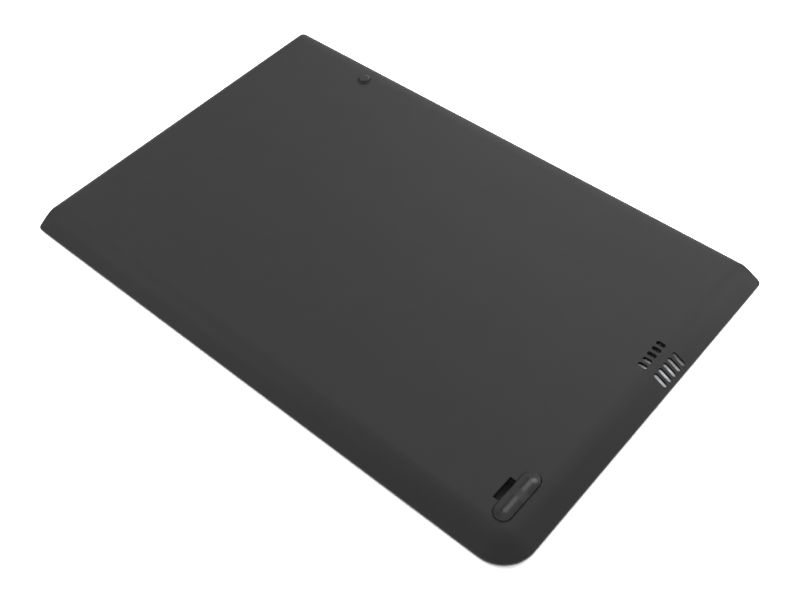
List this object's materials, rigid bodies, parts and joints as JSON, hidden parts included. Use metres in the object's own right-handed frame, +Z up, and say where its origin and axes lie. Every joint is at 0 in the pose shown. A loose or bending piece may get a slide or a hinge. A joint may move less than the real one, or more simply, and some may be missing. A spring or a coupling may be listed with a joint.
{
  "type": "laptop battery",
  "caption": "Flat laptop battery whose dark grey cover is the laptop's bottom plate, with a rolled bevel, speaker slots, a rubber foot and pouch cells in a black frame.",
  "frame": {"origin": "on the resting plane, under the middle of the cover's length and depth", "axes": "+X along the length to the end with the foot and speaker slots, +Y from the bevelled front edge to the rear edge with the connector, +Z up out of the outer face"},
  "size_m": [0.29, 0.188, 0.0102],
  "materials": {
    "cover_plastic": "soft-touch dark grey with a fine grain",
    "rubber": "satin dark grey",
    "bumper_rubber": "satin dark grey",
    "adhesive": "matt black tape",
    "frame_plastic": "fine spark-eroded black",
    "sheet_film": "satin black film",
    "pouch_foil": "satin laminate",
    "white_tape": "matt",
    "foam": "open foam",
    "nickel": "rolled nickel",
    "board_green": "solder mask",
    "chip_body": "moulded epoxy",
    "fuse_ceramic": "glazed",
    "chip_ceramic": "satin",
    "housing_plastic": "black glass-filled nylon",
    "contact_gold": "gold flash",
    "amber_film": "amber polyimide film"
  },
  "bodies": {
    "root": {"outer_cover": "cover_plastic", "rubber_foot": "rubber", "foot_adhesive": "adhesive", "rear_bumper": "bumper_rubber", "inner_frame": "frame_plastic", "cell_backing_sheet": "sheet_film", "protection_board": "board_green", "gauge_chip": "chip_body", "protector_chip": "chip_body", "power_mosfets": "chip_body", "pack_fuse": "fuse_ceramic", "sense_resistor": "chip_body", "chip_components": "chip_ceramic", "connector_housing": "housing_plastic", "connector_contacts": "contact_gold", "temperature_sensor": "chip_body", "tab_insulation_tape": "amber_film", "cell_1": "pouch_foil", "cell_tape_1": "white_tape", "foam_pad_1": "foam", "cell_2": "pouch_foil", "cell_tape_2": "white_tape", "foam_pad_2": "foam", "cell_3": "pouch_foil", "cell_tape_3": "white_tape", "foam_pad_3": "foam", "cell_4": "pouch_foil", "cell_tape_4": "white_tape", "foam_pad_4": "foam", "nickel_strip_1": "nickel", "nickel_strip_2": "nickel", "nickel_strip_3": "nickel", "nickel_strip_4": "nickel", "nickel_strip_5": "nickel"}
  },
  "joints": []
}
